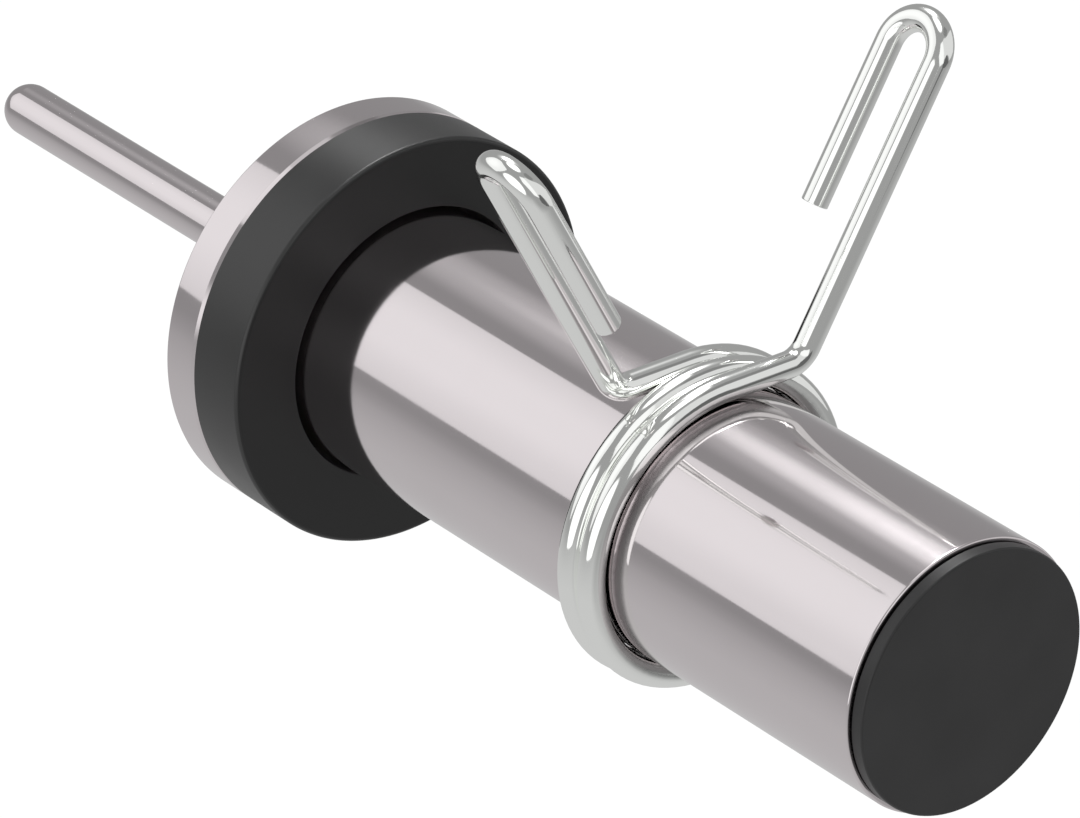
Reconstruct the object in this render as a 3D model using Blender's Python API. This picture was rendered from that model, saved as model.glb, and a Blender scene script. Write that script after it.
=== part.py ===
"""Magnetic loading pin for a weight stack: selector pin, magnet flange, sleeve and spring collar.

Units are metres. X runs along the common axis, from the selector pin's tip at -X to the end cap
at +X. The origin is the centre of the magnet face, and Z is up, where the collar's handles point.
"""
import math

import bmesh
import bpy
from mathutils import Matrix, Vector

# Fits between pieces
SEAT_GAP = 0.0003
BORE_FIT = 0.0003
COLLAR_FIT = 0.0003
COIL_GAP = 0.0003
BUMPER_CLEARANCE = 0.0009

# Selector pin: a shank with a domed tip, and a thinner threaded stud behind its shoulder
PIN_DIAMETER = 0.010
PIN_REACH = 0.1012
SHOULDER_STEP = 0.001
COUNTERBORE_DEPTH = 0.002
STUD_PROUD = 0.002
STUD_CHAMFER = 0.0008

# Flange plate, with a pocket at its back for the ring magnet
FLANGE_WEB = 0.0023
FLANGE_CHAMFER = 0.0006
FLANGE_BACK_CHAMFER = 0.0003
BOSS_WALL = 0.005
RIM_WIDTH = 0.009
MAGNET_THICKNESS = 0.005
MAGNET_RECESS = 0.0002
MAGNET_CHAMFER = 0.0004

# Bumper ring, which the loaded plates lean on, and which is as wide as the flange
BUMPER_WIDTH = 0.0131
BUMPER_THICKNESS = 0.0125
BUMPER_ROUND = 0.0009

# Sleeve, the plug in its root, and the washer and nut that clamp the stud
SLEEVE_DIAMETER = 0.050
SLEEVE_WALL = 0.0025
SLEEVE_LENGTH = 0.1588
SLEEVE_CHAMFER = 0.0004
PLUG_THICKNESS = 0.012
WASHER_THICKNESS = 0.0016
WASHER_MARGIN = 0.0015
NUT_WALL = 0.0025
NUT_HEIGHT = 0.008
NUT_CHAMFER = 0.0003
NUT_CHAMFER_ANGLE = math.radians(30.0)

# End cap: a head a little narrower than the sleeve, and a skirt inside it
CAP_THICKNESS = 0.0025
CAP_STEP = 0.0008
CAP_CHAMFER = 0.0003
SKIRT_LENGTH = 0.014
SKIRT_WALL = 0.002

# Spring collar: one wire, coiled round the sleeve and ending in two hairpin handles
WIRE_DIAMETER = 0.00485
COIL_TURNS = 2
COLLAR_FROM_BUMPER = 0.08035
COLLAR_TURN = math.radians(2.2)
LEG_REACH = 0.0161
BEND_RADIUS = 0.005
HANDLE_ANGLE = math.radians(30.0)
HANDLE_LENGTH = 0.0553
HAIRPIN_WIDTH = 0.0119
FREE_END_HEIGHT = 0.0246

# Facets
LARGE_SEGMENTS = 64
SMALL_SEGMENTS = 32
NUT_STEPS = 24
DOME_STEPS = 6
ROUND_SEGMENTS = 3
STEPS_PER_TURN = 40
BEND_STEPS = 6
HAIRPIN_STEPS = 12
WIRE_RESOLUTION = 4
WELD = 0.000002
SMOOTH_ANGLE = math.radians(30.0)

# Radii that follow from the sizes above
pin_radius = PIN_DIAMETER / 2
stud_radius = pin_radius - SHOULDER_STEP
stud_bore = stud_radius + BORE_FIT
pin_bore = pin_radius + BORE_FIT
sleeve_radius = SLEEVE_DIAMETER / 2
sleeve_bore = sleeve_radius - SLEEVE_WALL
cap_radius = sleeve_radius - CAP_STEP
bumper_bore = sleeve_radius + BUMPER_CLEARANCE
flange_radius = bumper_bore + BUMPER_WIDTH
boss_radius = pin_bore + BOSS_WALL
pocket_radius = flange_radius - RIM_WIDTH
nut_half_width = stud_bore + NUT_WALL
wire_radius = WIRE_DIAMETER / 2
coil_radius = sleeve_radius + COLLAR_FIT + wire_radius
coil_pitch = WIRE_DIAMETER + COIL_GAP

# Places along X, from the magnet face
pocket_depth = MAGNET_RECESS + MAGNET_THICKNESS + SEAT_GAP
flange_front = pocket_depth + FLANGE_WEB
seat_x = flange_front + SEAT_GAP
bumper_front = seat_x + BUMPER_THICKNESS
plug_front = seat_x + PLUG_THICKNESS
washer_x = plug_front + SEAT_GAP
nut_x = washer_x + WASHER_THICKNESS + SEAT_GAP
nut_front = nut_x + NUT_HEIGHT
stud_end = nut_front + STUD_PROUD
sleeve_end = seat_x + SLEEVE_LENGTH
cap_x = sleeve_end + SEAT_GAP
cap_front = cap_x + CAP_THICKNESS
collar_x = bumper_front + COLLAR_FROM_BUMPER


def make_material(name, colour, metallic, roughness):
    """A Principled BSDF with the piece's own colour and finish."""
    material = bpy.data.materials.new(name)
    material.use_nodes = True
    shader = material.node_tree.nodes["Principled BSDF"]
    shader.inputs["Base Color"].default_value = (*colour, 1.0)
    shader.inputs["Metallic"].default_value = metallic
    shader.inputs["Roughness"].default_value = roughness
    return material


def add_object(name, data, material):
    """Link a mesh or curve to the scene under its piece's name."""
    piece = bpy.data.objects.new(name, data)
    data.materials.append(material)
    bpy.context.collection.objects.link(piece)
    return piece


def spun(outline, segments):
    """Spin (x, radius) points about X: from axis to axis, or as a ring where none is on the axis."""
    solid = bmesh.new()
    points = [solid.verts.new((x, 0.0, radius)) for x, radius in outline]
    edges = [solid.edges.new(pair) for pair in zip(points, points[1:])]
    if outline[0][1] > 0.0:
        edges.append(solid.edges.new((points[-1], points[0])))
    bmesh.ops.spin(solid, geom=points + edges, axis=(1.0, 0.0, 0.0), cent=(0.0, 0.0, 0.0),
                   angle=math.tau, steps=segments, use_merge=True)
    bmesh.ops.remove_doubles(solid, verts=solid.verts[:], dist=WELD)
    bmesh.ops.recalc_face_normals(solid, faces=solid.faces[:])
    return solid


def soften_rim(solid, x, radius, width, segments):
    """Chamfer, or round with more segments, the circular edge at this x and radius."""
    def on_rim(vert):
        return abs(vert.co.x - x) < WELD and abs(math.hypot(vert.co.y, vert.co.z) - radius) < WELD

    rim = [edge for edge in solid.edges if on_rim(edge.verts[0]) and on_rim(edge.verts[1])]
    bmesh.ops.bevel(solid, geom=rim, offset=width, offset_type="OFFSET", segments=segments,
                    profile=0.5, affect="EDGES", clamp_overlap=True, material=-1)


def finish_solid(name, solid, material):
    """Turn a bmesh into a smooth-shaded object with crisp edges."""
    mesh = bpy.data.meshes.new(name)
    solid.to_mesh(mesh)
    solid.free()
    mesh.shade_smooth()
    mesh.set_sharp_from_angle(angle=SMOOTH_ANGLE)
    return add_object(name, mesh, material)


def ring_outline(start, end, inner, outer):
    """A plain ring's section between two places along X."""
    return [(start, inner), (end, inner), (end, outer), (start, outer)]


def selector_pin():
    """Round steel pin: domed tip, shank, shoulder and threaded stud."""
    dome_x = pin_radius - PIN_REACH
    quarter = math.pi / 2
    dome = [(dome_x - pin_radius * math.cos(quarter * step / DOME_STEPS),
             pin_radius * math.sin(quarter * step / DOME_STEPS)) for step in range(DOME_STEPS + 1)]
    shoulder_x = COUNTERBORE_DEPTH - SEAT_GAP
    stud = [(shoulder_x, pin_radius), (shoulder_x, stud_radius), (stud_end, stud_radius), (stud_end, 0.0)]
    solid = spun(dome + stud, SMALL_SEGMENTS)
    soften_rim(solid, stud_end, stud_radius, STUD_CHAMFER, 1)
    return finish_solid("selector_pin", solid, make_material("pin_chrome", (0.62, 0.60, 0.61), 1.0, 0.12))


def flange_plate():
    """Steel disc with the stud's counterbored hole and the magnet's pocket in its back."""
    outline = [
        (0.0, pin_bore), (COUNTERBORE_DEPTH, pin_bore), (COUNTERBORE_DEPTH, stud_bore),
        (flange_front, stud_bore), (flange_front, flange_radius), (0.0, flange_radius),
        (0.0, pocket_radius), (pocket_depth, pocket_radius), (pocket_depth, boss_radius), (0.0, boss_radius),
    ]
    solid = spun(outline, LARGE_SEGMENTS)
    soften_rim(solid, 0.0, flange_radius, FLANGE_BACK_CHAMFER, 1)
    soften_rim(solid, flange_front, flange_radius, FLANGE_CHAMFER, 1)
    return finish_solid("flange_plate", solid, make_material("flange_chrome", (0.62, 0.60, 0.61), 1.0, 0.10))


def ring_magnet():
    """Magnet in the flange plate's pocket, just behind the steel face."""
    back = MAGNET_RECESS
    front = MAGNET_RECESS + MAGNET_THICKNESS
    outer = pocket_radius - BORE_FIT
    solid = spun(ring_outline(back, front, boss_radius + BORE_FIT, outer), LARGE_SEGMENTS)
    soften_rim(solid, back, outer, MAGNET_CHAMFER, 1)
    return finish_solid("ring_magnet", solid, make_material("magnet_nickel", (0.55, 0.54, 0.50), 1.0, 0.30))


def bumper_ring():
    """Black ring in front of the flange plate, round the sleeve's root."""
    solid = spun(ring_outline(seat_x, bumper_front, bumper_bore, flange_radius), LARGE_SEGMENTS)
    soften_rim(solid, bumper_front, flange_radius, BUMPER_ROUND, ROUND_SEGMENTS)
    return finish_solid("bumper_ring", solid, make_material("bumper_black", (0.032, 0.032, 0.033), 0.0, 0.55))


def loading_sleeve():
    """Steel tube that the weight plates slide onto."""
    solid = spun(ring_outline(seat_x, sleeve_end, sleeve_bore, sleeve_radius), LARGE_SEGMENTS)
    soften_rim(solid, sleeve_end, sleeve_radius, SLEEVE_CHAMFER, 1)
    return finish_solid("loading_sleeve", solid, make_material("sleeve_chrome", (0.62, 0.60, 0.61), 1.0, 0.10))


def sleeve_plug():
    """Steel plug in the sleeve's root, which the stud passes through."""
    solid = spun(ring_outline(seat_x, plug_front, stud_bore, sleeve_bore - BORE_FIT), LARGE_SEGMENTS)
    return finish_solid("sleeve_plug", solid, make_material("plug_steel", (0.40, 0.40, 0.41), 1.0, 0.35))


def clamp_washer():
    """Washer between the plug and the nut."""
    outer = nut_half_width + WASHER_MARGIN
    solid = spun(ring_outline(washer_x, washer_x + WASHER_THICKNESS, stud_bore, outer), SMALL_SEGMENTS)
    return finish_solid("clamp_washer", solid, make_material("washer_zinc", (0.60, 0.61, 0.62), 1.0, 0.30))


def nut_section(angle):
    """Half-section of the nut at this angle from a flat's middle, its corners cut back by a cone."""
    off_flat = (angle + math.pi / 6) % (math.pi / 3) - math.pi / 6
    side_radius = nut_half_width / math.cos(off_flat)
    face_radius = nut_half_width - NUT_CHAMFER
    drop = (side_radius - face_radius) * math.tan(NUT_CHAMFER_ANGLE)
    return [
        (nut_x, stud_bore), (nut_front, stud_bore), (nut_front, face_radius),
        (nut_front - drop, side_radius), (nut_x + drop, side_radius), (nut_x, face_radius),
    ]


def clamp_nut():
    """Hexagon nut on the stud, joined from its sections round X."""
    solid = bmesh.new()
    sections = []
    for step in range(NUT_STEPS):
        angle = math.tau * step / NUT_STEPS
        sections.append([solid.verts.new((x, -radius * math.sin(angle), radius * math.cos(angle)))
                         for x, radius in nut_section(angle)])
    for here, ahead in zip(sections, sections[1:] + sections[:1]):
        for corner in range(len(here)):
            solid.faces.new((here[corner - 1], here[corner], ahead[corner], ahead[corner - 1]))
    bmesh.ops.recalc_face_normals(solid, faces=solid.faces[:])
    return finish_solid("clamp_nut", solid, make_material("nut_zinc", (0.60, 0.61, 0.62), 1.0, 0.30))


def end_cap():
    """Black cap with a skirt that plugs the sleeve's outer end."""
    skirt_end = sleeve_end - SKIRT_LENGTH
    skirt_outer = sleeve_bore - BORE_FIT
    skirt_inner = skirt_outer - SKIRT_WALL
    outline = [
        (cap_front, 0.0), (cap_front, cap_radius), (cap_x, cap_radius), (cap_x, skirt_outer),
        (skirt_end, skirt_outer), (skirt_end, skirt_inner), (cap_x, skirt_inner), (cap_x, 0.0),
    ]
    solid = spun(outline, LARGE_SEGMENTS)
    soften_rim(solid, cap_front, cap_radius, CAP_CHAMFER, 1)
    return finish_solid("end_cap", solid, make_material("cap_black", (0.038, 0.037, 0.039), 0.0, 0.45))


def arc(centre, start, axis, angle, steps):
    """Points from start, turned about an axis through centre, with both ends."""
    arm = start - centre
    return [centre + Matrix.Rotation(angle * step / steps, 3, axis) @ arm for step in range(steps + 1)]


def bend(corner, ahead, away):
    """The wire's bend where its direction changes from ahead to away."""
    angle = ahead.angle(away)
    axis = ahead.cross(away).normalized()
    start = corner - ahead * BEND_RADIUS * math.tan(angle / 2)
    return arc(start + axis.cross(ahead) * BEND_RADIUS, start, axis, angle, BEND_STEPS)


def coil_point(turns):
    """A point on the coil's centre line, this many turns from its start at the top."""
    angle = math.tau * turns
    x = (turns - COIL_TURNS / 2) * coil_pitch
    return Vector((x, coil_radius * math.sin(angle), coil_radius * math.cos(angle)))


def handle(side, leaves_at):
    """Centre line from the bend beside the coil to the hairpin's free end, for side +1 or -1."""
    outward = Vector((0.0, side, 0.0))
    upward = Vector((0.0, side * math.sin(HANDLE_ANGLE), math.cos(HANDLE_ANGLE)))
    across = Vector((-side, 0.0, 0.0))
    corner = leaves_at + outward * LEG_REACH
    top = corner + upward * HANDLE_LENGTH
    hairpin = arc(top + across * HAIRPIN_WIDTH / 2, top, upward.cross(across), math.pi, HAIRPIN_STEPS)
    free_end = corner + across * HAIRPIN_WIDTH + upward * FREE_END_HEIGHT
    return bend(corner, outward, upward) + hairpin + [free_end]


def spring_collar():
    """Chromed spring wire: handle, coil and handle in one length, with its origin on the sleeve's axis."""
    coil_steps = COIL_TURNS * STEPS_PER_TURN
    coil = [coil_point(step / STEPS_PER_TURN) for step in range(coil_steps + 1)]
    route = handle(-1, coil[0])[::-1] + coil + handle(1, coil[-1])
    curve = bpy.data.curves.new("spring_collar", "CURVE")
    curve.dimensions = "3D"
    curve.bevel_depth = wire_radius
    curve.bevel_resolution = WIRE_RESOLUTION
    curve.use_fill_caps = True
    spline = curve.splines.new("POLY")
    spline.points.add(len(route) - 1)
    for point, place in zip(spline.points, route):
        point.co = (*place, 1.0)
    collar = add_object("spring_collar", curve, make_material("spring_chrome", (0.70, 0.71, 0.69), 1.0, 0.08))
    collar.location.x = collar_x
    collar.rotation_euler.x = -COLLAR_TURN
    return collar


def clear_scene():
    """Remove whatever the scene holds."""
    for old in list(bpy.data.objects):
        bpy.data.objects.remove(old, do_unlink=True)


def main():
    """Build each piece."""
    clear_scene()
    selector_pin()
    flange_plate()
    ring_magnet()
    bumper_ring()
    loading_sleeve()
    sleeve_plug()
    clamp_washer()
    clamp_nut()
    end_cap()
    spring_collar()


if __name__ == "__main__":
    main()
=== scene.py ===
"""Looks of the magnetic loading pin, laid out as an add-on and run as a script.

Lengths are metres in the part's own frame: X runs along the common axis from the selector pin's tip
to the end cap, the origin is the centre of the magnet face, and Z is up.
"""
import math

import bmesh
import bpy
from bpy.props import FloatProperty, FloatVectorProperty, IntProperty, PointerProperty
from bpy.types import Operator, Panel, PropertyGroup
from mathutils import Matrix, Vector


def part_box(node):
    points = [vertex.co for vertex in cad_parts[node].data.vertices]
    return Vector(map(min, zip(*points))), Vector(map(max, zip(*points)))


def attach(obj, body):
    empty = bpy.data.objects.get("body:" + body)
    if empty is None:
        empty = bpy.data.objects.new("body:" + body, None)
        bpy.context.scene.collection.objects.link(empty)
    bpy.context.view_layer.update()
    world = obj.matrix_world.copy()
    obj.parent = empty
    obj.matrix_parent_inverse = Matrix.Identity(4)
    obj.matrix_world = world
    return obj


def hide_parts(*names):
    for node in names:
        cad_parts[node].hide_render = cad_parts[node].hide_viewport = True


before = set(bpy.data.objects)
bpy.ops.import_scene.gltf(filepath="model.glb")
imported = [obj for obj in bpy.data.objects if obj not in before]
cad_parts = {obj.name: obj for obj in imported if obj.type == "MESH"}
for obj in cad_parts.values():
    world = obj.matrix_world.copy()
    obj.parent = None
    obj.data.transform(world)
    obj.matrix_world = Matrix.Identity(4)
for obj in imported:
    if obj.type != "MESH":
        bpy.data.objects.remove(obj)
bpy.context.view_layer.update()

bl_info = {
    "name": "Magnetic loading pin",
    "version": (1, 0, 0),
    "blender": (4, 5, 0),
    "location": "3D View > Sidebar > Loading Pin",
    "description": "Builds the pieces, finishes and studio of a magnetic loading pin",
    "category": "Object",
}

X_AXIS = Vector((1.0, 0.0, 0.0))
ORIGIN = Vector((0.0, 0.0, 0.0))
FULL_RANGE = (0.0, 1.0)

# Points this close are one, and an edge sharper than this stays hard
WELD = 0.000002
CREASE = math.radians(32.0)

# Steps of a full turn on narrow, middling and broad pieces, and of the other curves
NARROW, MIDDLING, BROAD = 96, 192, 256
DOME_STEPS = 16
WIRE_SIDES = 48
HAIRPIN_STEPS = 32
BEND_STEPS = 16
COIL_STEPS = 96

# Widths of the small edges that no property sets
BROKEN_EDGE = 0.0001
WIRE_EDGE = 0.00018
FINE_EDGE = 0.0002
BORE_EDGE = 0.0003
FULL_EDGE = 0.0004
PLUG_EDGE = 0.0005

# The stud's thread: its length, its steps a turn, and in pitches its depth and where its crest
# begins and ends
THREAD_LENGTH = 0.0122
THREAD_STEPS = 48
THREAD_DEPTH = 0.6
THREAD_CREST = (0.44, 0.56)

# The nut: how far its round face stays inside its flats, and their number
NUT_CHAMFER = 0.0003
NUT_FLATS = 6


def place(node, corner, axis):
    """One coordinate of a CAD node's lowest (0) or highest (1) corner."""
    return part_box(node)[corner][axis]


def length(name, description, default):
    """A length that a user can change, in metres."""
    return FloatProperty(name=name, description=description, default=default, min=-1.0,
                         max=1.0, precision=5, unit="LENGTH", subtype="DISTANCE")


def turn(name, description, degrees):
    """An angle that a user can change."""
    return FloatProperty(name=name, description=description, default=math.radians(degrees),
                         unit="ROTATION", subtype="ANGLE")


def finish_colour(name, description, default):
    """A surface colour that a user can change."""
    return FloatVectorProperty(name=name, description=description, default=default, size=3,
                               min=0.0, max=1.0, subtype="COLOR")


def level(name, description, default):
    """A plain number without a unit that a user can change."""
    return FloatProperty(name=name, description=description, default=default, min=0.0, max=10.0)


class PinSizes(PropertyGroup):
    """Selector pin, its stud, and the nut and washer on it."""

    tip: length("Tip", "Where the domed tip ends", place("selector_pin", 0, 0))
    radius: length("Shank radius", "Half the pin's thickness", place("selector_pin", 1, 2))
    shoulder: length("Shoulder", "Where the shank sits in the flange's counterbore", 0.0017)
    stud_radius: length("Stud radius", "Half the thread's outer diameter", 0.004)
    stud_end: length("Stud end", "Where the stud ends", place("selector_pin", 1, 0))
    pitch: length("Thread pitch", "Distance between two turns of the thread", 0.00125)
    fit: length("Bore fit", "Clearance between a bore and what goes through it", 0.0003)


class FlangeSizes(PropertyGroup):
    """Chromed disc and the magnet in its back."""

    front: length("Front", "Place of the front face", place("flange_plate", 1, 0))
    radius: length("Radius", "Half the disc's diameter", place("flange_plate", 1, 2))
    counterbore: length("Counterbore", "Depth of the hole that the shank sits in", 0.002)
    pocket: length("Pocket", "Depth of the magnet's pocket", 0.0055)
    rim: length("Rim", "Width of the steel outside the pocket", 0.009)
    boss: length("Boss radius", "Outer radius of the steel inside the magnet", 0.0103)
    edge: length("Front edge", "Width of the chamfer on the disc's front edge", 0.0006)
    back_edge: length("Back edge", "Width of the chamfer on the disc's back edge", 0.0003)
    magnet_edge: length("Magnet edge", "Rounding of the magnet's edges", 0.0004)


class SleeveSizes(PropertyGroup):
    """Bumper ring, sleeve, the plug in its root and the cap on its end."""

    bumper_bore: length("Bumper bore", "Inner radius of the black ring", 0.0259)
    bumper_round: length("Bumper rounding", "Rounding of the black ring's front edge", 0.0009)
    radius: length("Sleeve radius", "Half the sleeve's diameter", place("loading_sleeve", 1, 2))
    wall: length("Sleeve wall", "Thickness of the tube", 0.0025)
    edge: length("Sleeve edge", "Rounding of the tube's ends", 0.0004)
    cap_round: length("Cap rounding", "Rounding of the edge round the end cap's face", 0.0004)
    skirt_wall: length("Skirt wall", "Thickness of the cap's skirt", 0.002)


class CollarSizes(PropertyGroup):
    """Spring collar: one wire with a coil and two hairpin handles."""

    wire: length("Wire radius", "Half the wire's thickness", 0.002425)
    coil: length("Coil radius", "From the sleeve's axis to the wire's centre line", 0.027725)
    pitch: length("Coil pitch", "Distance along the sleeve from one turn to the next", 0.00515)
    turns: IntProperty(name="Turns", description="Whole turns of the coil", default=2, min=1,
                       max=12)
    middle: length("Middle", "Place of the coil's middle along the sleeve", 0.10095)
    lean: turn("Lean", "How far the collar is turned round the sleeve", 2.2)
    leg: length("Leg", "From the coil's top to the corner of a handle", 0.0161)
    bend: length("Bend radius", "Radius of the wire's centre line in a handle's bend", 0.005)
    spread: turn("Handle angle", "How far each handle leans outwards", 30.0)
    handle: length("Handle length", "From the corner to the hairpin", 0.0553)
    hairpin: length("Hairpin width", "Between the centre lines of a handle's two legs", 0.0119)
    free_end: length("Free end", "Height of the wire's cut end above the corner", 0.0246)


class Finishes(PropertyGroup):
    """Colours and roughness of the pieces."""

    chrome: finish_colour("Chrome", "Warm bright chrome of pin, disc and sleeve",
                          (0.76, 0.71, 0.725))
    chrome_roughness: level("Chrome roughness", "Roughness of the polished chrome", 0.06)
    spring: finish_colour("Spring", "Neutral bright chrome of the spring wire", (0.99, 1.0, 0.98))
    spring_roughness: level("Spring roughness", "Roughness of the spring wire", 0.06)
    rubber: finish_colour("Bumper", "Black of the bumper ring's face", (0.0062, 0.0062, 0.0063))
    # Painted light: the side's black is lighter than the face's, for the light that the side
    # catches
    rubber_side_painted_light: finish_colour("Bumper side", "Black of the bumper ring's side",
                               (0.0135, 0.0135, 0.0137))
    # Painted light: the bore's black is lighter still, for light that bounces into the gap round
    # the sleeve
    rubber_bore_painted_light: finish_colour("Bumper bore", "Lightened black inside the bumper ring's bore",
                               (0.06, 0.058, 0.058))
    cap: finish_colour("Cap", "Black of the end cap", (0.0215, 0.0213, 0.0218))
    nickel: finish_colour("Nickel", "Plating of the magnet", (0.62, 0.59, 0.53))
    zinc: finish_colour("Zinc", "Plating of washer and nut", (0.62, 0.63, 0.65))
    steel: finish_colour("Steel", "Turned steel of the plug", (0.46, 0.45, 0.44))


class Studio(PropertyGroup):
    """Camera and light."""

    camera: FloatVectorProperty(name="Camera", description="Where the camera stands", size=3,
                                default=(0.89350, -0.67593, 0.61512), precision=5,
                                subtype="TRANSLATION")
    azimuth: turn("Azimuth", "Heading of the camera from +Y towards +X", -51.0586)
    drop: turn("Drop", "How far the camera looks down", 29.6787)
    roll: turn("Roll", "Turn of the camera about its own line of sight", -0.2484)
    lens: FloatProperty(name="Lens", description="Focal length on a 36 mm sensor", default=235.978,
                        unit="CAMERA", subtype="DISTANCE_CAMERA")
    floor: length("Floor", "Height of the floor, well below the part", -1.0)
    fill: level("Fill", "Level of the plain light from all sides", 0.65)
    sun: level("Key", "Level of the soft lamp from above", 1.34)
    reach: length("Reach", "Distance of the studio's cards", 1.0)


# Mesh


def outline(*corners):
    """A bmesh with one chain of edges through (x, radius) points beside the X axis."""
    solid = bmesh.new()
    points = [solid.verts.new((x, 0.0, radius)) for x, radius in corners]
    for pair in zip(points, points[1:]):
        solid.edges.new(pair)
    return solid


def spin_outline(solid, segments=MIDDLING):
    """Turn the outline once round the X axis into a closed solid."""
    bmesh.ops.spin(solid, geom=solid.verts[:] + solid.edges[:], axis=X_AXIS, cent=ORIGIN,
                   angle=math.tau, steps=segments, use_merge=True)
    bmesh.ops.remove_doubles(solid, verts=solid.verts[:], dist=WELD)
    bmesh.ops.recalc_face_normals(solid, faces=solid.faces[:])
    return solid


def turned(*corners, segments=MIDDLING):
    """A solid of revolution with this half-section: closed on the axis, or a ring."""
    if corners[0][1] > 0.0:
        corners += corners[:1]
    return spin_outline(outline(*corners), segments)


def plain_ring(start, end, inner, outer, segments=MIDDLING):
    """A ring from start to end along the X axis, between two radii."""
    return turned((start, inner), (end, inner), (end, outer), (start, outer), segments=segments)


def soften(solid, x, radius, width, segments=4):
    """Round the circular edge at this x and radius."""
    def on_rim(vert):
        off_radius = math.hypot(vert.co.y, vert.co.z) - radius
        return abs(vert.co.x - x) < WELD and abs(off_radius) < WELD

    rim = [edge for edge in solid.edges if on_rim(edge.verts[0]) and on_rim(edge.verts[1])]
    if not rim:
        raise RuntimeError(f"no edge at x {x:.5f}, radius {radius:.5f}")
    bmesh.ops.bevel(solid, geom=rim, offset=width, offset_type="OFFSET", segments=segments,
                    profile=0.5, affect="EDGES", clamp_overlap=True, material=-1)


def trim(solid, point, outwards):
    """Cut off what lies beyond a plane and close the cut."""
    bmesh.ops.bisect_plane(solid, geom=solid.verts[:] + solid.edges[:] + solid.faces[:],
                           plane_co=point, plane_no=outwards, clear_outer=True)
    rim = [edge for edge in solid.edges if edge.is_boundary
           and all(abs((vert.co - point).dot(outwards)) < WELD for vert in edge.verts)]
    bmesh.ops.contextual_create(solid, geom=rim)


def aimed(point, towards, side):
    """The transform that sets a flat shape at a point, facing this way."""
    return Matrix.Translation(point) @ towards.to_track_quat("Z", side).to_matrix().to_4x4()


def finish_piece(name, solid, material, body, *nodes):
    """Make the solid a piece that stands for CAD nodes and rides on a body."""
    mesh = bpy.data.meshes.new(name)
    solid.to_mesh(mesh)
    solid.free()
    mesh.shade_smooth()
    mesh.set_sharp_from_angle(angle=CREASE)
    mesh.materials.append(material)
    piece = bpy.data.objects.new(name, mesh)
    bpy.context.scene.collection.objects.link(piece)
    weighted = piece.modifiers.new("Weighted normals", "WEIGHTED_NORMAL")
    weighted.keep_sharp = True
    weighted.weight = 100
    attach(piece, body)
    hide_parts(*nodes)
    return piece


# Finishes

# Noise: turns per metre, detail and roughness
POLISHED_PATCHES = (55.0, 3.0, 0.55)
POLISHING_LINES = (2600.0, 2.0, 0.5)
DRAWING_LINES = (900.0, 2.0, 0.5)
MOULDED_PATCHES = (70.0, 3.0, 0.5)
FLOOR_MOTTLE = (3.0, 4.0, 0.5)

# Detail and roughness of the noise whose scale differs from piece to piece
MOTTLE_DETAIL = (4.0, 0.6)
TURNING_DETAIL = (3.0, 0.6)
GRAIN_DETAIL = (2.0, 0.6)

# Shares between which roughness and shade vary from patch to patch
POLISHED_ROUGHNESS = (0.75, 1.35)
PLATED_ROUGHNESS = (0.8, 1.3)
MOULDED_ROUGHNESS = (0.92, 1.08)
CHROME_SHADE = 0.985
PLATED_SHADE = 0.88
MOULDED_SHADES = (0.86, 1.12)

# How much roughness the polishing lines add, as a share of the chrome's
SCORING = 0.25

# How little the polishing lines change along their rings
RING_STRETCH = 0.02

# Bump: strength and depth in metres, and strength alone
LINE_BUMP = (0.12, 0.000004)
PLATING_BUMP = (0.35, 0.00001)
GRAIN_BUMP = 0.3

# Spring wire's painted shade, a dull dark band on the coil's side that faces the sleeve: how far it
# wavers, its shade and roughness, and in wire radii from the coil's centre line where it sets in,
# is full, still is full and ends
PAINTED_SHADE_WAVER = 0.0003
PAINTED_SHADE_SHARE = 0.45
PAINTED_SHADE_ROUGHNESS = 0.3
PAINTED_SHADE_BAND = (-0.8, -0.6, -0.3, 0.1)

# Plain metals: roughness, and in turns per metre their mottle and their turning lines
NICKEL_PLATE = (0.26, 900.0, 1500.0)
TURNED_STEEL = (0.34, 300.0, 3200.0)
WASHER_ZINC = (0.32, 1200.0, 2400.0)
NUT_ZINC = (0.30, 1200.0, 2400.0)

# Black pieces: roughness, refraction, grain in turns per metre and its depth in metres
BUMPER_FACE = (0.42, 1.5, 2400.0, 0.00001)
BUMPER_SIDE = (0.37, 1.62, 2400.0, 0.00001)
CAP_PLASTIC = (0.39, 1.45, 3000.0, 0.000006)


def add_node(tree, kind, settings=None, **inputs):
    """Add a shader node; an input, named or numbered as i0, is a value or a socket to link from."""
    made = tree.nodes.new(kind)
    for key, value in (settings or {}).items():
        setattr(made, key, value)
    for key, value in inputs.items():
        numbered = key[0] == "i" and key[1:].isdigit()
        socket = made.inputs[int(key[1:]) if numbered else key]
        if isinstance(value, bpy.types.NodeSocket):
            tree.links.new(value, socket)
        else:
            socket.default_value = value
    return made


def math_node(tree, operation, *values):
    """The number that a Math node gives."""
    inputs = {f"i{at}": value for at, value in enumerate(values)}
    return add_node(tree, "ShaderNodeMath", {"operation": operation}, **inputs).outputs[0]


def vector_node(tree, operation, output, *values):
    """The Vector or the Value that a Vector Math node gives."""
    inputs = {f"i{at}": value for at, value in enumerate(values)}
    made = add_node(tree, "ShaderNodeVectorMath", {"operation": operation}, **inputs)
    return made.outputs[output]


def new_material(name):
    """An empty node material, and its tree."""
    material = bpy.data.materials.new(name)
    material.use_nodes = True
    material.node_tree.nodes.clear()
    return material, material.node_tree


def principled(tree, **inputs):
    """Put a Principled BSDF on the material's output."""
    named = {key.replace("_", " "): value for key, value in inputs.items()}
    shader = add_node(tree, "ShaderNodeBsdfPrincipled", **named)
    add_node(tree, "ShaderNodeOutputMaterial", Surface=shader.outputs[0])


def noise(tree, vector, scale, detail, roughness):
    """Noise in turns per metre of its coordinates."""
    return add_node(tree, "ShaderNodeTexNoise", Vector=vector, Scale=scale, Detail=detail,
                    Roughness=roughness).outputs["Fac"]


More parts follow.
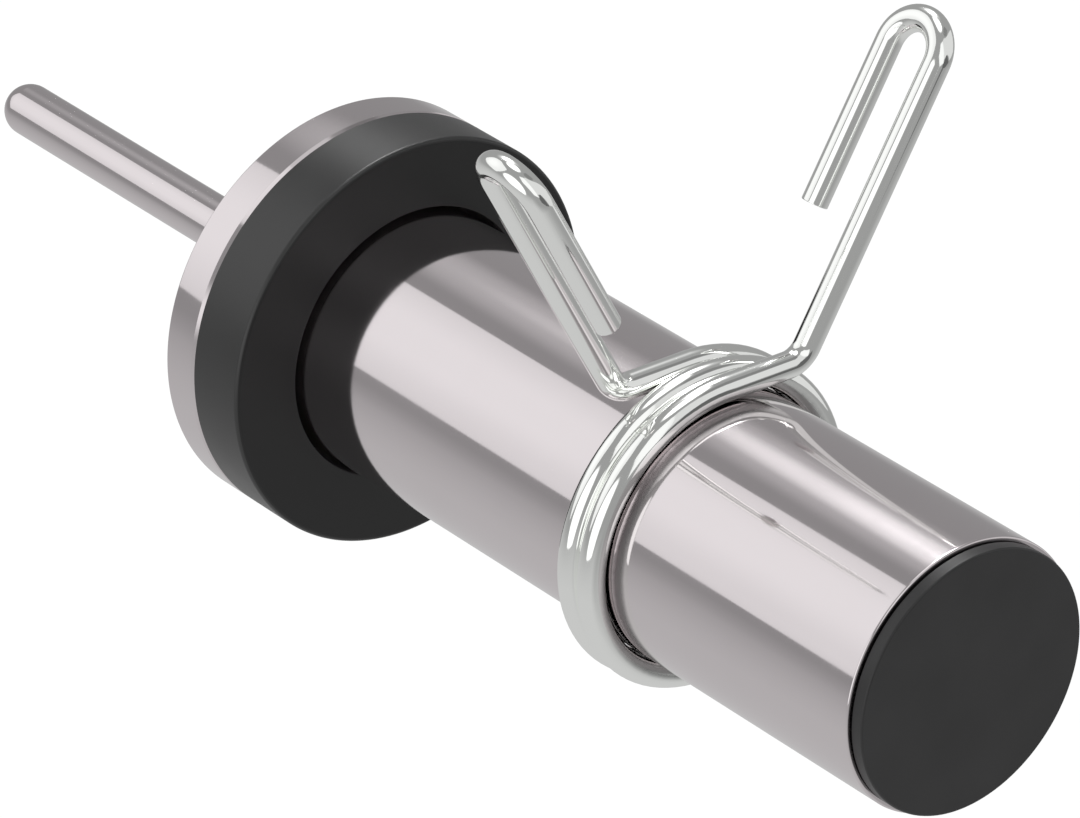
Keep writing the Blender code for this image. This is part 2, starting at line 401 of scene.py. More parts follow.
def spread(tree, value, low, high, start=0.3, end=0.7):
    """Map a range of values, or else a noise's middle range, to another range."""
    ends = {"From Min": start, "From Max": end, "To Min": low, "To Max": high}
    return add_node(tree, "ShaderNodeMapRange", {"clamp": True}, Value=value, **ends).outputs[0]


def blend_colours(tree, factor, first, second):
    """Mix two colours by a factor."""
    return add_node(tree, "ShaderNodeMix", {"data_type": "RGBA"}, i0=factor, i6=(*first, 1.0),
                    i7=(*second, 1.0)).outputs[2]


def bump(tree, height, strength, distance):
    """Bump with a real depth in metres."""
    return add_node(tree, "ShaderNodeBump", Strength=strength, Distance=distance,
                    Height=height).outputs[0]


def object_place(tree):
    """Object coordinates."""
    return add_node(tree, "ShaderNodeTexCoord").outputs["Object"]


def axis_distance(tree, where):
    """Distance from the X axis."""
    across = vector_node(tree, "MULTIPLY", "Vector", where, (0.0, 1.0, 1.0))
    return vector_node(tree, "LENGTH", "Value", across)


def turned_place(tree):
    """Coordinates that make noise run in rings round the X axis, on sides and on faces alike."""
    where = object_place(tree)
    axes = add_node(tree, "ShaderNodeSeparateXYZ", Vector=where).outputs
    along = math_node(tree, "MULTIPLY", axes[1], RING_STRETCH)
    return add_node(tree, "ShaderNodeCombineXYZ", X=axes[0], Y=axis_distance(tree, where),
                    Z=along).outputs[0]


def darker(colour, share):
    """The colour times a share."""
    return tuple(channel * share for channel in colour)


def patchy(tree, patches, roughness, shares):
    """Roughness that varies from patch to patch between two shares of it."""
    return spread(tree, patches, *(roughness * share for share in shares))


def polished_chrome(name, finishes):
    """Bright chrome with faint polishing lines and patches that are a little less bright."""
    material, tree = new_material(name)
    colour, roughness = finishes.chrome, finishes.chrome_roughness
    patches = noise(tree, object_place(tree), *POLISHED_PATCHES)
    lines = noise(tree, turned_place(tree), *POLISHING_LINES)
    haze = patchy(tree, patches, roughness, POLISHED_ROUGHNESS)
    rough = math_node(tree, "ADD", haze, spread(tree, lines, 0.0, roughness * SCORING))
    tint = blend_colours(tree, spread(tree, patches, *FULL_RANGE), darker(colour, CHROME_SHADE),
                         colour)
    principled(tree, Base_Color=tint, Metallic=1.0, Roughness=rough,
               Normal=bump(tree, lines, *LINE_BUMP))
    return material


def sprung_wire(name, finishes, start, low, high, end):
    """Bright spring wire with painted shade: a dull dark band between these distances from the X
    axis.
    """
    material, tree = new_material(name)
    where = object_place(tree)
    patches = noise(tree, where, *POLISHED_PATCHES)
    drawn = noise(tree, where, *DRAWING_LINES)
    wavy = math_node(tree, "MULTIPLY_ADD", drawn, PAINTED_SHADE_WAVER, axis_distance(tree, where))
    # Painted shade: darker and rougher between low and high, fading back to bright towards start
    # and end
    inside = spread(tree, wavy, 1.0, 0.0, start, low)
    outside = spread(tree, wavy, 0.0, 1.0, high, end)
    bright = math_node(tree, "MAXIMUM", inside, outside)
    tint = blend_colours(tree, bright, darker(finishes.spring, PAINTED_SHADE_SHARE), finishes.spring)
    haze = patchy(tree, patches, finishes.spring_roughness, POLISHED_ROUGHNESS)
    rough = add_node(tree, "ShaderNodeMix", {"data_type": "FLOAT"}, i0=bright, i2=PAINTED_SHADE_ROUGHNESS,
                     i3=haze).outputs[0]
    principled(tree, Base_Color=tint, Metallic=1.0, Roughness=rough,
               Normal=bump(tree, drawn, *LINE_BUMP))
    return material


def plated_metal(name, colour, roughness, grain, rings):
    """Nickel, zinc or turned steel: mottled plating over turning lines."""
    material, tree = new_material(name)
    mottle = noise(tree, object_place(tree), grain, *MOTTLE_DETAIL)
    lines = noise(tree, turned_place(tree), rings, *TURNING_DETAIL)
    tint = blend_colours(tree, spread(tree, mottle, *FULL_RANGE), darker(colour, PLATED_SHADE),
                         colour)
    rough = patchy(tree, mottle, roughness, PLATED_ROUGHNESS)
    principled(tree, Base_Color=tint, Metallic=1.0, Roughness=rough,
               Normal=bump(tree, lines, *PLATING_BUMP))
    return material


def moulded_black(name, colour, roughness, ior, grain, depth):
    """Satin black rubber or plastic with a fine moulded grain."""
    material, tree = new_material(name)
    where = object_place(tree)
    fine = noise(tree, where, grain, *GRAIN_DETAIL)
    broad = noise(tree, where, *MOULDED_PATCHES)
    tint = blend_colours(tree, spread(tree, broad, *FULL_RANGE),
                         *(darker(colour, share) for share in MOULDED_SHADES))
    rough = patchy(tree, broad, roughness, MOULDED_ROUGHNESS)
    principled(tree, Base_Color=tint, Metallic=0.0, Roughness=rough, IOR=ior,
               Normal=bump(tree, fine, GRAIN_BUMP, depth))
    return material


# Pieces


class LOADINGPIN_OT_selector_pin(Operator):
    """Turn the selector pin with its domed tip and cut the thread on its stud"""

    bl_idname = "loading_pin.selector_pin"
    bl_label = "Selector pin"

    def execute(self, context):
        """Spin the dome and shank, then a thread as a second closed shell."""
        sizes = context.scene.loading_pin_sizes
        thread_start = sizes.stud_end - THREAD_LENGTH
        solid = bmesh.new()
        tip = solid.verts.new((sizes.tip, 0.0, 0.0))
        arc = bmesh.ops.spin(solid, geom=[tip], axis=(0.0, 1.0, 0.0),
                             cent=(sizes.tip + sizes.radius, 0.0, 0.0), angle=math.pi / 2,
                             steps=DOME_STEPS)
        last = arc["geom_last"][0]
        for x, radius in ((sizes.shoulder, sizes.radius), (sizes.shoulder, sizes.stud_radius),
                          (thread_start, sizes.stud_radius), (thread_start, 0.0)):
            ahead = solid.verts.new((x, 0.0, radius))
            solid.edges.new((last, ahead))
            last = ahead
        spin_outline(solid, NARROW)
        soften(solid, sizes.shoulder, sizes.radius, BORE_EDGE, 3)
        self.cut_thread(solid, sizes, thread_start)
        chrome = polished_chrome("pin_chrome", context.scene.loading_pin_finishes)
        finish_piece("selector_pin_chrome", solid, chrome, "loading_pin", "selector_pin")
        return {"FINISHED"}

    def cut_thread(self, pin, sizes, start):
        """Spin a zigzag along a helix, trim both ends flat and add the rod to the pin."""
        thread = bmesh.new()
        root = sizes.stud_radius - sizes.pitch * THREAD_DEPTH
        spare = 2
        zigzag = []
        for turn_number in range(math.ceil((sizes.stud_end - start) / sizes.pitch) + spare):
            foot = start + (turn_number - spare) * sizes.pitch
            zigzag.append((foot, root))
            zigzag += [(foot + sizes.pitch * share, sizes.stud_radius) for share in THREAD_CREST]
        points = [thread.verts.new((x, 0.0, radius)) for x, radius in zigzag]
        edges = [thread.edges.new(pair) for pair in zip(points, points[1:])]
        bmesh.ops.spin(thread, geom=points + edges, axis=X_AXIS, cent=ORIGIN, angle=math.tau,
                       dvec=X_AXIS * sizes.pitch / THREAD_STEPS, steps=THREAD_STEPS)
        bmesh.ops.remove_doubles(thread, verts=thread.verts[:], dist=WELD)
        trim(thread, X_AXIS * start, -X_AXIS)
        trim(thread, X_AXIS * sizes.stud_end, X_AXIS)
        bmesh.ops.recalc_face_normals(thread, faces=thread.faces[:])
        rod = bpy.data.meshes.new("thread")
        thread.to_mesh(rod)
        thread.free()
        pin.from_mesh(rod)
        bpy.data.meshes.remove(rod)


class LOADINGPIN_OT_flange(Operator):
    """Turn the chromed disc and set the ring magnet in its back"""

    bl_idname = "loading_pin.flange"
    bl_label = "Flange and magnet"

    def execute(self, context):
        """Spin both rings and soften their edges."""
        sizes = context.scene.loading_pin_flange
        pin = context.scene.loading_pin_sizes
        finishes = context.scene.loading_pin_finishes
        bore = pin.radius + pin.fit
        stud_bore = pin.stud_radius + pin.fit
        pocket_radius = sizes.radius - sizes.rim
        disc = turned((0.0, bore), (sizes.counterbore, bore), (sizes.counterbore, stud_bore),
                      (sizes.front, stud_bore), (sizes.front, sizes.radius), (0.0, sizes.radius),
                      (0.0, pocket_radius), (sizes.pocket, pocket_radius),
                      (sizes.pocket, sizes.boss), (0.0, sizes.boss), segments=BROAD)
        soften(disc, sizes.front, sizes.radius, sizes.edge, 1)
        soften(disc, 0.0, sizes.radius, sizes.back_edge, 2)
        for radius in (pocket_radius, sizes.boss, bore):
            soften(disc, 0.0, radius, FINE_EDGE, 1)
        finish_piece("flange_chrome_disc", disc, polished_chrome("disc_chrome", finishes),
                     "loading_pin", "flange_plate")
        low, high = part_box("ring_magnet")
        inner = sizes.boss + pin.fit
        magnet = plain_ring(low.x, high.x, inner, high.z, BROAD)
        for radius in (inner, high.z):
            soften(magnet, low.x, radius, sizes.magnet_edge)
        nickel = plated_metal("magnet_nickel_plate", finishes.nickel, *NICKEL_PLATE)
        finish_piece("magnet_ring", magnet, nickel, "loading_pin", "ring_magnet")
        return {"FINISHED"}


class LOADINGPIN_OT_bumper(Operator):
    """Mould the black ring in front of the disc"""

    bl_idname = "loading_pin.bumper"
    bl_label = "Bumper ring"

    def execute(self, context):
        """Spin the ring, round its edges and give its side and bore their own lighter blacks, which
        are painted light.
        """
        sizes = context.scene.loading_pin_sleeve
        finishes = context.scene.loading_pin_finishes
        low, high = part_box("bumper_ring")
        ring = plain_ring(low.x, high.x, sizes.bumper_bore, high.z, BROAD)
        soften(ring, high.x, high.z, sizes.bumper_round, 5)
        soften(ring, low.x, high.z, BROKEN_EDGE, 1)
        soften(ring, high.x, sizes.bumper_bore, BORE_EDGE, 3)
        for face in ring.faces:
            middle = face.calc_center_median()
            radius = math.hypot(middle.y, middle.z)
            if radius > high.z - sizes.bumper_round / 2:
                face.material_index = 1
            elif radius < sizes.bumper_bore:
                face.material_index = 2
        black = moulded_black("bumper_face", finishes.rubber, *BUMPER_FACE)
        piece = finish_piece("bumper_black_ring", ring, black, "loading_pin", "bumper_ring")
        # The side's and the bore's lighter blacks are painted light
        for name, colour in (("bumper_side", finishes.rubber_side_painted_light),
                             ("bumper_bore", finishes.rubber_bore_painted_light)):
            piece.data.materials.append(moulded_black(name, colour, *BUMPER_SIDE))
        return {"FINISHED"}


class LOADINGPIN_OT_sleeve(Operator):
    """Turn the chromed tube and the steel plug in its root"""

    bl_idname = "loading_pin.sleeve"
    bl_label = "Sleeve and plug"

    def execute(self, context):
        """Spin tube and plug."""
        sizes = context.scene.loading_pin_sleeve
        pin = context.scene.loading_pin_sizes
        finishes = context.scene.loading_pin_finishes
        low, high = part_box("loading_sleeve")
        bore = sizes.radius - sizes.wall
        tube = plain_ring(low.x, high.x, bore, sizes.radius, BROAD)
        soften(tube, high.x, sizes.radius, sizes.edge)
        soften(tube, high.x, bore, BORE_EDGE, 3)
        soften(tube, low.x, sizes.radius, FINE_EDGE, 3)
        finish_piece("sleeve_chrome_tube", tube, polished_chrome("sleeve_chrome_plate", finishes),
                     "loading_pin", "loading_sleeve")
        low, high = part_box("sleeve_plug")
        hole = pin.stud_radius + pin.fit
        plug = plain_ring(low.x, high.x, hole, high.z)
        for x in (low.x, high.x):
            soften(plug, x, high.z, PLUG_EDGE, 3)
            soften(plug, x, hole, BORE_EDGE, 3)
        steel = plated_metal("plug_turned_steel", finishes.steel, *TURNED_STEEL)
        finish_piece("sleeve_steel_plug", plug, steel, "loading_pin", "sleeve_plug")
        return {"FINISHED"}


class LOADINGPIN_OT_fasteners(Operator):
    """Make the washer and the hexagon nut that clamp the stud"""

    bl_idname = "loading_pin.fasteners"
    bl_label = "Washer and nut"

    def execute(self, context):
        """Spin the washer, and cut six flats on a turned nut blank."""
        pin = context.scene.loading_pin_sizes
        finishes = context.scene.loading_pin_finishes
        hole = pin.stud_radius + pin.fit
        low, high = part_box("clamp_washer")
        washer = plain_ring(low.x, high.x, hole, high.z, NARROW)
        for x in (low.x, high.x):
            soften(washer, x, high.z, BORE_EDGE, 3)
        plate = plated_metal("washer_zinc_plate", finishes.zinc, *WASHER_ZINC)
        finish_piece("zinc_washer", washer, plate, "loading_pin", "clamp_washer")
        low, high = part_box("clamp_nut")
        half_width = high.z
        half_flat = math.pi / NUT_FLATS
        corner = half_width / math.cos(half_flat)
        face = half_width - NUT_CHAMFER
        drop = (corner - face) * math.tan(half_flat)
        nut = turned((low.x, hole), (high.x, hole), (high.x, face), (high.x - drop, corner),
                     (low.x + drop, corner), (low.x, face), segments=NARROW)
        for x in (low.x, high.x):
            soften(nut, x, hole, FULL_EDGE, 2)
        for flat in range(NUT_FLATS):
            out = Matrix.Rotation(flat * 2.0 * half_flat, 3, "X") @ Vector((0.0, 0.0, 1.0))
            trim(nut, out * half_width, out)
        bmesh.ops.recalc_face_normals(nut, faces=nut.faces[:])
        plate = plated_metal("nut_zinc_plate", finishes.zinc, *NUT_ZINC)
        finish_piece("zinc_nut", nut, plate, "loading_pin", "clamp_nut")
        return {"FINISHED"}


class LOADINGPIN_OT_cap(Operator):
    """Mould the black cap that plugs the sleeve's outer end"""

    bl_idname = "loading_pin.cap"
    bl_label = "End cap"

    def execute(self, context):
        """Spin the cap with its head and skirt, and round its face."""
        sizes = context.scene.loading_pin_sleeve
        pin = context.scene.loading_pin_sizes
        finishes = context.scene.loading_pin_finishes
        low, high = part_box("end_cap")
        seat = place("loading_sleeve", 1, 0) + pin.fit
        outer = sizes.radius - sizes.wall - pin.fit
        inner = outer - sizes.skirt_wall
        cap = turned((high.x, 0.0), (high.x, high.z), (seat, high.z), (seat, outer),
                     (low.x, outer), (low.x, inner), (seat, inner), (seat, 0.0), segments=BROAD)
        soften(cap, high.x, high.z, sizes.cap_round, 5)
        soften(cap, seat, high.z, BROKEN_EDGE, 1)
        soften(cap, low.x, outer, FULL_EDGE, 3)
        black = moulded_black("cap_plastic", finishes.cap, *CAP_PLASTIC)
        finish_piece("cap_black_plastic", cap, black, "loading_pin", "end_cap")
        return {"FINISHED"}


class LOADINGPIN_OT_collar(Operator):
    """Bend the spring collar from one length of wire"""

    bl_idname = "loading_pin.collar"
    bl_label = "Spring collar"

    def execute(self, context):
        """Sweep the wire's round section from one cut end to the other."""
        sizes = context.scene.loading_pin_collar
        reach = sizes.bend * math.tan((math.pi / 2 - sizes.spread) / 2)
        half = sizes.turns * sizes.pitch / 2
        out, rise = math.sin(sizes.spread), math.cos(sizes.spread)
        up = {side: Vector((0.0, side * out, rise)) for side in (-1, 1)}
        corner = {side: Vector((side * half, side * sizes.leg, sizes.coil)) for side in (-1, 1)}

        first = corner[-1] + X_AXIS * sizes.hairpin + up[-1] * sizes.free_end
        wire = bmesh.new()
        ring = bmesh.ops.create_circle(wire, radius=sizes.wire, segments=WIRE_SIDES)["verts"]
        bmesh.ops.transform(wire, verts=ring, matrix=aimed(first, up[-1], "X"))
        self.end = wire.edges[:]
        self.wire = wire
        start = list(self.end)

        self.straight(up[-1] * (sizes.handle - sizes.free_end))
        self.round(corner[-1] + X_AXIS * (sizes.hairpin / 2) + up[-1] * sizes.handle,
                   X_AXIS.cross(up[-1]), math.pi, HAIRPIN_STEPS)
        self.straight(-up[-1] * (sizes.handle - reach))
        bend_at = corner[-1] + Vector((0.0, reach, sizes.bend))
        self.round(bend_at, X_AXIS, math.pi / 2 - sizes.spread, BEND_STEPS)
        self.straight(Vector((0.0, sizes.leg - reach, 0.0)))
        self.round(ORIGIN, -X_AXIS, math.tau * sizes.turns, COIL_STEPS * sizes.turns,
                   X_AXIS * (sizes.turns * sizes.pitch))
        self.straight(Vector((0.0, sizes.leg - reach, 0.0)))
        bend_at = corner[1] + Vector((0.0, -reach, sizes.bend))
        self.round(bend_at, X_AXIS, math.pi / 2 - sizes.spread, BEND_STEPS)
        self.straight(up[1] * (sizes.handle - reach))
        self.round(corner[1] - X_AXIS * (sizes.hairpin / 2) + up[1] * sizes.handle,
                   up[1].cross(-X_AXIS), math.pi, HAIRPIN_STEPS)
        self.straight(-up[1] * (sizes.handle - sizes.free_end))

        for rim in (start, self.end):
            bmesh.ops.contextual_create(wire, geom=rim)
            bmesh.ops.bevel(wire, geom=rim, offset=WIRE_EDGE, offset_type="OFFSET", segments=2,
                            profile=0.5, affect="EDGES", clamp_overlap=True, material=-1)
        bmesh.ops.recalc_face_normals(wire, faces=wire.faces[:])
        settle = Matrix.Translation(X_AXIS * sizes.middle) @ Matrix.Rotation(-sizes.lean, 4, "X")
        bmesh.ops.transform(wire, verts=wire.verts[:], matrix=settle)
        # Radii from the axis of the painted shade band on the coil's side that faces the sleeve
        band = [sizes.coil + sizes.wire * share for share in PAINTED_SHADE_BAND]
        bright = sprung_wire("spring_wire_chrome", context.scene.loading_pin_finishes, *band)
        finish_piece("collar_spring_wire", wire, bright, "collar", "spring_collar")
        return {"FINISHED"}

    def straight(self, step):
        """Carry the open end on along a straight."""
        made = bmesh.ops.extrude_edge_only(self.wire, edges=self.end)["geom"]
        verts = [item for item in made if isinstance(item, bmesh.types.BMVert)]
        bmesh.ops.translate(self.wire, verts=verts, vec=step)
        self.end = [item for item in made if isinstance(item, bmesh.types.BMEdge)
                    and all(vert in made for vert in item.verts) and item.is_boundary]

    def round(self, centre, axis, angle, steps, climb=ORIGIN):
        """Carry the open end on round a centre, climbing by this much in all."""
        verts = {vert for edge in self.end for vert in edge.verts}
        made = bmesh.ops.spin(self.wire, geom=self.end + list(verts), axis=axis, cent=centre,
                              angle=angle, dvec=climb / steps, steps=steps)
        self.end = [item for item in made["geom_last"] if isinstance(item, bmesh.types.BMEdge)]


# Studio

STUDIO_CENTRE = Vector((0.05, 0.0, 0.02))

# As multiples of the studio's reach: how far the cards stand off, and half the surroundings' size
CARD_REACH = 3.0
SURROUND_REACH = 10.0

# Half the floor's side, and how far the grey ground that gloss sees lies above it
FLOOR_HALF = 12.0
GROUND_RISE = 0.01

# Key lamp: its width, and its turn about X and Y, in degrees
KEY_WIDTH = 50.0
KEY_TURN = (22.0, -14.0)

# Width of the camera's sensor in millimetres
SENSOR = 36.0

# Greys of the surroundings, from straight down at 0 to straight up at 1: those behind and beside
# the part, and those in front of it
GREYS_BEHIND = ((0.0, 0.57), (0.18, 0.565), (0.25, 0.535), (0.305, 0.50), (0.36, 0.455),
                (0.40, 0.395), (0.45, 0.335), (0.5, 0.33))
GREYS_BEFORE = ((0.0, 0.57), (0.12, 0.55), (0.18, 0.50), (0.21, 0.455), (0.25, 0.41),
                (0.29, 0.365), (0.33, 0.33))

# Azimuth of the front in degrees, and where on the way to it the greys before the part set in and
# are full, as cosines
FRONT = 45.0
FRONT_FADE = (0.1, 0.5)

# Reflection cards: name, strength, strength at the rim as a share, corner rounding and width of the
# fade in degrees, and the corners as azimuth from +Y towards +X and height
CARDS = (
    ("side_card", 0.89, 0.97, 4.0, 6.0,
     ((-174.0, 50.0), (-113.0, 59.0), (-103.0, 50.0), (-96.5, 43.0), (-98.0, 12.0),
      (-147.0, -3.0), (-157.0, 11.0), (-168.0, 31.0))),
    ("wide_card", 0.70, 1.0, 0.0, 0.0,
     ((-5.0, 4.0), (8.0, -16.0), (40.0, -13.0), (52.0, 2.0), (66.0, 14.0), (84.0, 12.0),
      (97.0, 58.0), (76.0, 58.0), (58.0, 50.0), (42.0, 42.0), (18.0, 27.0))),
    ("front_card", 0.97, 0.9, 2.0, 5.0,
     ((82.0, 4.0), (104.0, 6.0), (128.0, 36.0), (127.0, 57.0), (97.0, 58.0))),
    ("low_flag", 0.12, 0.0, 0.0, 5.0,
     ((41.0, -15.0), (62.0, -16.0), (82.0, -9.5), (85.0, 0.5), (78.0, 8.0), (73.0, 13.0),
      (66.0, 14.0), (57.0, 3.0), (49.0, -9.0))),
    ("high_flag", 0.22, 1.0, 0.0, 0.0,
     ((18.0, 36.0), (42.0, 44.0), (60.0, 54.0), (62.0, 62.0), (40.0, 64.0), (16.0, 52.0))),
)

# Soft round lights for the gloss: name, strength, distance as a multiple of the studio's reach, and
# in degrees azimuth, height, radius and radius of the even middle
GLOWS = (
    ("far_halo", 0.55, 7.6, -50.0, 53.5, 26.0, 14.0),
    ("far_glow", 1.05, 7.5, -50.0, 53.5, 17.0, 12.0),
    ("far_core", 11.5, 7.4, -50.0, 54.5, 12.5, 6.0),
    ("top_glow", 1.5, 7.0, -30.0, 84.0, 20.0, 14.0),
    ("near_glow", 1.14, 3.4, 166.5, 6.0, 30.0, 25.5),
    ("side_glow", 1.0, 2.0, -127.0, 30.0, 28.0, 6.0),
)


def link_stage(name, solid, material):
    """Make a bmesh part of the stage."""
    mesh = bpy.data.meshes.new(name)
    solid.to_mesh(mesh)
    solid.free()
    mesh.materials.append(material)
    made = bpy.data.objects.new(name, mesh)
    bpy.context.scene.collection.objects.link(made)
    return made


def for_gloss_only(card):
    """A reflection card, which only gloss sees: it lights nothing and hides nothing."""
    card.visible_camera = False
    card.visible_diffuse = False
    card.visible_transmission = False
    card.visible_volume_scatter = False
    card.visible_shadow = False


def way(azimuth, height):
    """The direction with this azimuth and height in degrees."""
    azimuth, height = math.radians(azimuth), math.radians(height)
    return Vector((math.sin(azimuth) * math.cos(height), math.cos(azimuth) * math.cos(height),
                   math.sin(height)))


class LOADINGPIN_OT_studio(Operator):
    """Set up floor, plain light, reflection cards and the camera"""

    bl_idname = "loading_pin.studio"
    bl_label = "Studio"

    def execute(self, context):
        """Build the stage round the part."""
        studio = context.scene.loading_pin_studio
        self.floor(studio)
        self.world(context, studio)
        self.key(context, studio)
        self.surround(studio)
        for card in CARDS:
            self.card(studio, *card)
        for glow in GLOWS:
            self.glow(studio, *glow)
        self.camera(context, studio)
        context.scene.view_settings.view_transform = "Standard"
        return {"FINISHED"}

    def floor(self, studio):
        """A plain pale floor well below the part."""
        material, tree = new_material("floor_pale")
        mottle = noise(tree, object_place(tree), *FLOOR_MOTTLE)
        tint = blend_colours(tree, spread(tree, mottle, *FULL_RANGE), (0.985, 0.985, 0.985),
                             (1.0, 1.0, 1.0))
        principled(tree, Base_Color=tint, Roughness=0.9, IOR=1.0)
        plane = bmesh.new()
        bmesh.ops.create_grid(plane, x_segments=1, y_segments=1, size=FLOOR_HALF)
        bmesh.ops.translate(plane, verts=plane.verts[:], vec=(0.0, 0.0, studio.floor))
        link_stage("floor", plane, material)

    def world(self, context, studio):
        """Plain light from all sides, and a white backdrop for what looks at it."""
        world = bpy.data.worlds.new("studio")
        world.use_nodes = True
        tree = world.node_tree
        tree.nodes.clear()
        rays = add_node(tree, "ShaderNodeLightPath").outputs
        seen = math_node(tree, "MAXIMUM", rays["Is Camera Ray"], rays["Is Glossy Ray"])
        shown = math_node(tree, "MAXIMUM", seen, rays["Is Transmission Ray"])
        light = {"Color": (1.0, 1.0, 1.0, 1.0)}
        plain = add_node(tree, "ShaderNodeBackground", Strength=studio.fill, **light)
        white = add_node(tree, "ShaderNodeBackground", Strength=1.0, **light)
        mixed = add_node(tree, "ShaderNodeMixShader", i0=shown, i1=plain.outputs[0],
                         i2=white.outputs[0])
        add_node(tree, "ShaderNodeOutputWorld", Surface=mixed.outputs[0])
        context.scene.world = world

    def key(self, context, studio):
        """One broad soft lamp from above, which gives the floor its shadow."""
        lamp = bpy.data.lights.new("key", "SUN")
        lamp.energy = studio.sun
        lamp.angle = math.radians(KEY_WIDTH)
        key = bpy.data.objects.new("key", lamp)
        key.rotation_euler = (*(math.radians(part) for part in KEY_TURN), 0.0)
        key.visible_glossy = False
        context.scene.collection.objects.link(key)

    def surround(self, studio):
        """Grey walls and ground for the chrome to show, brighter below than above."""
        material, tree = new_material("surround_grey")
        material.cycles.emission_sampling = "NONE"
        ways = vector_node(tree, "NORMALIZE", "Vector", object_place(tree))
        height = add_node(tree, "ShaderNodeSeparateXYZ", Vector=ways).outputs[2]
        share = add_node(tree, "ShaderNodeMapRange", Value=height,
                         **{"From Min": -1.0, "From Max": 1.0}).outputs[0]
        behind = self.greys(tree, share, GREYS_BEHIND)
        before = self.greys(tree, share, GREYS_BEFORE)
        facing = vector_node(tree, "DOT_PRODUCT", "Value", ways, way(FRONT, 0.0))
        turned_to = spread(tree, facing, *FULL_RANGE, *FRONT_FADE)
        shade = add_node(tree, "ShaderNodeMix", {"data_type": "RGBA"}, i0=turned_to, i6=behind,
                         i7=before).outputs[2]
        glow = add_node(tree, "ShaderNodeEmission", Color=shade, Strength=1.0)
        add_node(tree, "ShaderNodeOutputMaterial", Surface=glow.outputs[0])
        size = studio.reach * SURROUND_REACH
        ball = bmesh.new()
        bmesh.ops.create_uvsphere(ball, u_segments=48, v_segments=24, radius=size)
        for_gloss_only(link_stage("surround", ball, material))
        ground = bmesh.new()
        bmesh.ops.create_grid(ground, x_segments=1, y_segments=1, size=size)
        bmesh.ops.translate(ground, verts=ground.verts[:],
                            vec=(0.0, 0.0, studio.floor + GROUND_RISE))
        for_gloss_only(link_stage("ground_card", ground, material))

    def greys(self, tree, share, stops):
        """A ramp of greys through these stops."""
        ramp = add_node(tree, "ShaderNodeValToRGB", Fac=share)
        made = ramp.color_ramp.elements
        for number, (at, grey) in enumerate(stops):
            stop = made[number] if number < len(made) else made.new(at)
            stop.position = at
            stop.color = (grey, grey, grey, 1.0)
        return ramp.outputs[0]

    def paint(self, name, strength, rim):
        """A glowing paint that fades towards the rim to a share of its strength, or to nothing."""
        material, tree = new_material(name + "_paint")
        material.cycles.emission_sampling = "NONE"
        inside = add_node(tree, "ShaderNodeAttribute", {"attribute_name": "inside"}).outputs["Fac"]
        eased = add_node(tree, "ShaderNodeMapRange", {"interpolation_type": "SMOOTHSTEP"},
                         Value=inside).outputs[0]
        at_rim = strength * rim if rim > 0.0 else strength
        shade = spread(tree, eased, at_rim, strength, *FULL_RANGE)
        glow = add_node(tree, "ShaderNodeEmission", Strength=shade)
        clear = add_node(tree, "ShaderNodeBsdfTransparent")
        cover = spread(tree, eased, 1.0 if rim > 0.0 else 0.0, 1.0, *FULL_RANGE)
        mixed = add_node(tree, "ShaderNodeMixShader", i0=cover, i1=clear.outputs[0],
                         i2=glow.outputs[0])
        add_node(tree, "ShaderNodeOutputMaterial", Surface=mixed.outputs[0])
        return material

    def glow(self, studio, name, strength, distance, azimuth, height, radius, middle):
        """One soft round light: a fan whose middle is even and whose rim is clear."""
        away = studio.reach * distance
        towards = way(azimuth, height)
        sheet = bmesh.new()
        rim = bmesh.ops.create_circle(sheet, cap_ends=True, cap_tris=True, segments=64,
                                      radius=away * math.tan(math.radians(radius)))["verts"]
        bmesh.ops.transform(sheet, verts=rim,
                            matrix=aimed(STUDIO_CENTRE + towards * away, towards, "Y"))
        layer = sheet.verts.layers.float.new("inside")
        for vert in sheet.verts:
            vert[layer] = 0.0 if vert.is_boundary else 1.0 / (1.0 - middle / radius)
        for_gloss_only(link_stage(name, sheet, self.paint(name, strength, 0.0)))

    def card(self, studio, name, strength, rim, corner, fade, ways):
        """One card with its corners in these directions, rounded there and fading to its rim."""
        sheet = bmesh.new()
        away = studio.reach * CARD_REACH
        points = [sheet.verts.new(STUDIO_CENTRE + way(*direction) * away) for direction in ways]
        sheet.faces.new(points)
        if corner > 0.0:
            bmesh.ops.bevel(sheet, geom=sheet.verts[:], offset=away * math.radians(corner),
                            offset_type="OFFSET", segments=8, profile=0.5, affect="VERTICES",
                            clamp_overlap=True, material=-1)
        layer = sheet.verts.layers.float.new("inside")
        rim_verts = set(sheet.verts)
        if fade > 0.0:
            bmesh.ops.inset_individual(sheet, faces=sheet.faces[:],
                                       thickness=away * math.radians(fade))
        for vert in sheet.verts:
            vert[layer] = 0.0 if vert in rim_verts and fade > 0.0 else 1.0
        for_gloss_only(link_stage(name, sheet, self.paint(name, strength, rim)))

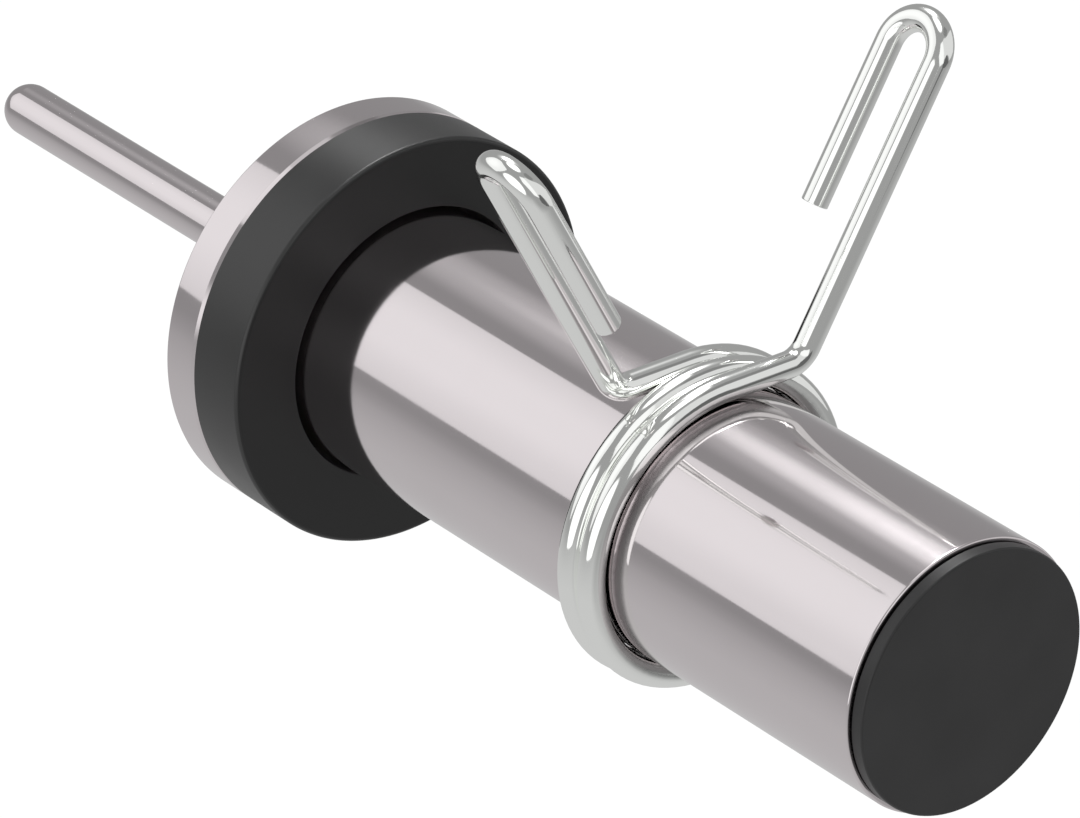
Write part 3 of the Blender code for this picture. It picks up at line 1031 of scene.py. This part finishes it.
    def camera(self, context, studio):
        """The photograph's camera."""
        lens = bpy.data.cameras.new("camera")
        lens.sensor_width = SENSOR
        lens.lens = studio.lens
        lens.clip_start = 0.01
        lens.clip_end = 100.0
        camera = bpy.data.objects.new("camera", lens)
        camera.matrix_world = (
            Matrix.Translation(studio.camera) @ Matrix.Rotation(-studio.azimuth, 4, "Z")
            @ Matrix.Rotation(math.pi / 2 - studio.drop, 4, "X")
            @ Matrix.Rotation(studio.roll, 4, "Z"))
        context.scene.collection.objects.link(camera)
        context.scene.camera = camera


class LOADINGPIN_PT_panel(Panel):
    """Sizes, finishes and the steps that build the part"""

    bl_idname = "LOADINGPIN_PT_panel"
    bl_label = "Magnetic loading pin"
    bl_space_type = "VIEW_3D"
    bl_region_type = "UI"
    bl_category = "Loading Pin"

    def draw(self, context):
        """List the groups of properties and the operators."""
        scene = context.scene
        for group_name, group in GROUPS.items():
            box = self.layout.box()
            for name in group.__annotations__:
                box.prop(getattr(scene, group_name), name)
        for step in STEPS:
            self.layout.operator(step.bl_idname)


GROUPS = {
    "loading_pin_sizes": PinSizes,
    "loading_pin_flange": FlangeSizes,
    "loading_pin_sleeve": SleeveSizes,
    "loading_pin_collar": CollarSizes,
    "loading_pin_finishes": Finishes,
    "loading_pin_studio": Studio,
}
STEPS = (LOADINGPIN_OT_selector_pin, LOADINGPIN_OT_flange, LOADINGPIN_OT_bumper,
         LOADINGPIN_OT_sleeve, LOADINGPIN_OT_fasteners, LOADINGPIN_OT_cap, LOADINGPIN_OT_collar,
         LOADINGPIN_OT_studio)


def register():
    """Register the classes and put the properties on the scene."""
    for item in (*GROUPS.values(), *STEPS, LOADINGPIN_PT_panel):
        bpy.utils.register_class(item)
    for name, group in GROUPS.items():
        setattr(bpy.types.Scene, name, PointerProperty(type=group))


def unregister():
    """Take the properties and the classes away again."""
    for name in GROUPS:
        delattr(bpy.types.Scene, name)
    for item in (LOADINGPIN_PT_panel, *STEPS, *GROUPS.values()):
        bpy.utils.unregister_class(item)


def main():
    """Build the part piece by piece, then the studio."""
    register()
    bpy.ops.loading_pin.selector_pin()
    bpy.ops.loading_pin.flange()
    bpy.ops.loading_pin.bumper()
    bpy.ops.loading_pin.sleeve()
    bpy.ops.loading_pin.fasteners()
    bpy.ops.loading_pin.cap()
    bpy.ops.loading_pin.collar()
    bpy.ops.loading_pin.studio()


if __name__ == "__main__":
    main()
